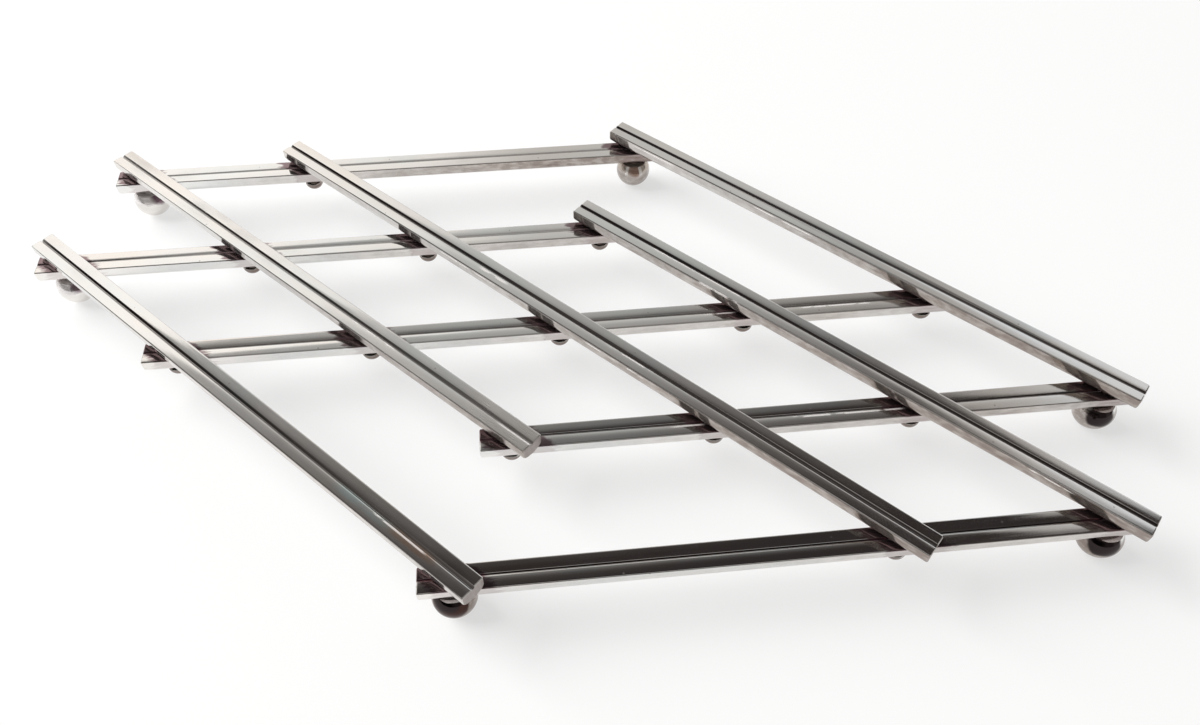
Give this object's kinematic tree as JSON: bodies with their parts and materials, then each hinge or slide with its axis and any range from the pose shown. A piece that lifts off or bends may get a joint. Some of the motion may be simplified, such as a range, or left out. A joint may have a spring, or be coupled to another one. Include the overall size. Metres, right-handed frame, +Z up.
{
  "type": "expandable trivet",
  "caption": "Folding lattice trivet of grooved silver-plated bars pinned at their crossings, standing on ball feet.",
  "frame": {"origin": "on the table, straight below the middle pivot, where the middle bars of both layers cross", "axes": "+Z up; +X along the lower bars, towards their right ends as seen from the front; +Y towards the back"},
  "size_m": [0.2862, 0.1548, 0.0181],
  "materials": {
    "bar_plate": "polished silver plate with a faint warm tarnish, light polishing scratches and small pits",
    "pin_plate": "polished silver plate on small turned pins, a little darker in the corners",
    "foot_plate": "polished silver plate on turned balls, worn where they stand"
  },
  "bodies": {
    "lower_bar_3_body": {"lower_bar_3": "bar_plate"},
    "upper_bar_1_body": {"upper_bar_1": "bar_plate", "ball_foot_upper_1_lower_2": "foot_plate", "domed_pin_upper_1_lower_3": "pin_plate", "ball_foot_upper_1_lower_5": "foot_plate"},
    "upper_bar_2_body": {"upper_bar_2": "bar_plate", "ball_foot_upper_2_lower_1": "foot_plate", "domed_pin_upper_2_lower_2": "pin_plate", "domed_pin_upper_2_lower_3": "pin_plate", "domed_pin_upper_2_lower_4": "pin_plate"},
    "upper_bar_3_body": {"upper_bar_3": "bar_plate", "domed_pin_upper_3_lower_1": "pin_plate", "domed_pin_upper_3_lower_2": "pin_plate", "domed_pin_upper_3_lower_3": "pin_plate", "domed_pin_upper_3_lower_4": "pin_plate", "domed_pin_upper_3_lower_5": "pin_plate"},
    "upper_bar_4_body": {"upper_bar_4": "bar_plate", "domed_pin_upper_4_lower_2": "pin_plate", "domed_pin_upper_4_lower_3": "pin_plate", "domed_pin_upper_4_lower_4": "pin_plate", "ball_foot_upper_4_lower_5": "foot_plate"},
    "upper_bar_5_body": {"upper_bar_5": "bar_plate", "ball_foot_upper_5_lower_1": "foot_plate", "domed_pin_upper_5_lower_3": "pin_plate", "ball_foot_upper_5_lower_4": "foot_plate"},
    "lower_bar_1_body": {"lower_bar_1": "bar_plate"},
    "lower_bar_2_body": {"lower_bar_2": "bar_plate"},
    "lower_bar_4_body": {"lower_bar_4": "bar_plate"},
    "lower_bar_5_body": {"lower_bar_5": "bar_plate"}
  },
  "joints": [
    {"name": "lattice_fold", "type": "hinge", "parent": "lower_bar_3_body", "child": "upper_bar_3_body", "pos_m": [0, 0, 0.013], "axis": [0, 0, -1], "range_deg": [-32, 126]},
    {"name": "upper_bar_1_pivot", "type": "hinge", "parent": "lower_bar_3_body", "child": "upper_bar_1_body", "pos_m": [-0.1, 0, 0.013], "axis": [0, 0, -1], "range_deg": [-32, 126]},
    {"name": "upper_bar_2_pivot", "type": "hinge", "parent": "lower_bar_3_body", "child": "upper_bar_2_body", "pos_m": [-0.05, 0, 0.013], "axis": [0, 0, -1], "range_deg": [-32, 126]},
    {"name": "upper_bar_4_pivot", "type": "hinge", "parent": "lower_bar_3_body", "child": "upper_bar_4_body", "pos_m": [0.05, 0, 0.013], "axis": [0, 0, -1], "range_deg": [-32, 126]},
    {"name": "upper_bar_5_pivot", "type": "hinge", "parent": "lower_bar_3_body", "child": "upper_bar_5_body", "pos_m": [0.1, 0, 0.013], "axis": [0, 0, -1], "range_deg": [-32, 126]},
    {"name": "lower_bar_1_pivot", "type": "hinge", "parent": "upper_bar_3_body", "child": "lower_bar_1_body", "pos_m": [-0.07133, 0.07009, 0.013], "axis": [0, 0, -1], "range_deg": [-126, 32]},
    {"name": "lower_bar_2_pivot", "type": "hinge", "parent": "upper_bar_3_body", "child": "lower_bar_2_body", "pos_m": [-0.03566, 0.03505, 0.013], "axis": [0, 0, -1], "range_deg": [-126, 32]},
    {"name": "lower_bar_4_pivot", "type": "hinge", "parent": "upper_bar_3_body", "child": "lower_bar_4_body", "pos_m": [0.03566, -0.03505, 0.013], "axis": [0, 0, -1], "range_deg": [-126, 32]},
    {"name": "lower_bar_5_pivot", "type": "hinge", "parent": "upper_bar_3_body", "child": "lower_bar_5_body", "pos_m": [0.07133, -0.07009, 0.013], "axis": [0, 0, -1], "range_deg": [-126, 32]}
  ],
  "couplings": [
    {"joint": "upper_bar_1_pivot", "follows": "lattice_fold", "ratio": 1},
    {"joint": "upper_bar_2_pivot", "follows": "lattice_fold", "ratio": 1},
    {"joint": "upper_bar_4_pivot", "follows": "lattice_fold", "ratio": 1},
    {"joint": "upper_bar_5_pivot", "follows": "lattice_fold", "ratio": 1},
    {"joint": "lower_bar_1_pivot", "follows": "lattice_fold", "ratio": -1},
    {"joint": "lower_bar_2_pivot", "follows": "lattice_fold", "ratio": -1},
    {"joint": "lower_bar_4_pivot", "follows": "lattice_fold", "ratio": -1},
    {"joint": "lower_bar_5_pivot", "follows": "lattice_fold", "ratio": -1}
  ]
}
